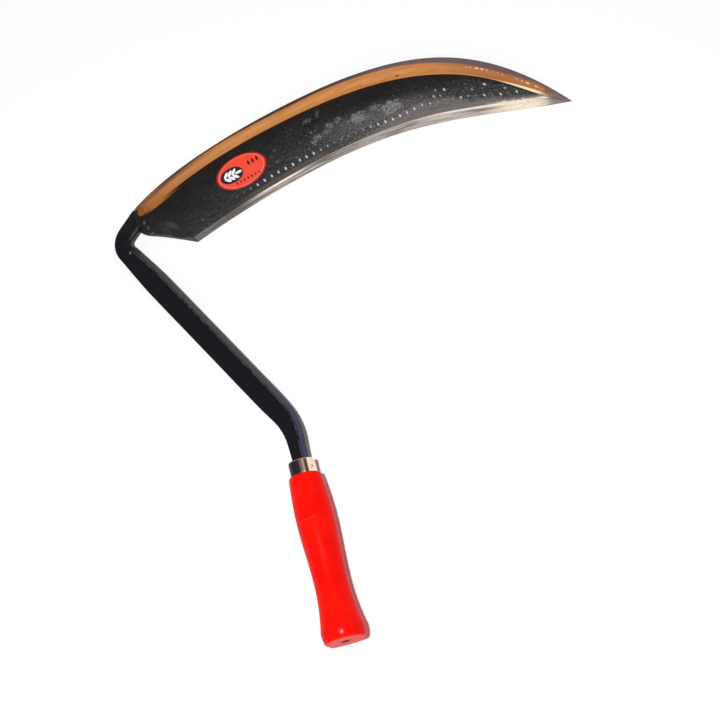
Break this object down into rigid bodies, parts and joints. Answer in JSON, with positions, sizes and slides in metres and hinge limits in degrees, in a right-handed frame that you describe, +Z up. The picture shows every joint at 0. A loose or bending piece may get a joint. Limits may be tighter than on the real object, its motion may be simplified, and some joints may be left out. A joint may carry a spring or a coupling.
{
  "type": "hand sickle",
  "caption": "Forged hand sickle: broad ribbed crescent blade on a cranked and hooked bar, with a ferrule and a turned wooden handle that flares at the butt.",
  "frame": {"origin": "middle of the handle's butt face, at the mouth of its pilot bore", "axes": "+Y along the handle from the butt to the ferrule, +X toward the side that the blade reaches out to, +Z up from the ground that the tool lies on, out of the blade's labelled side"},
  "size_m": [0.3701, 0.4294, 0.0336],
  "materials": {
    "blade_steel": "dark lacquered forged steel with a bare ground edge and a gold-brown painted stripe along the rib",
    "bar_steel": "satin blue-black lacquer over forged bar",
    "weld_steel": "satin black lacquer over a rippled bead",
    "ferrule_metal": "bright plated sheet",
    "nail_steel": "dull steel",
    "lacquered_wood": "glossy opaque red lacquer on turned wood",
    "label_film": "glossy printed sticker"
  },
  "bodies": {
    "root": {"blade": "blade_steel", "shank": "bar_steel", "weld": "weld_steel", "ferrule": "ferrule_metal", "nail": "nail_steel", "handle": "lacquered_wood", "label": "label_film"}
  },
  "joints": []
}
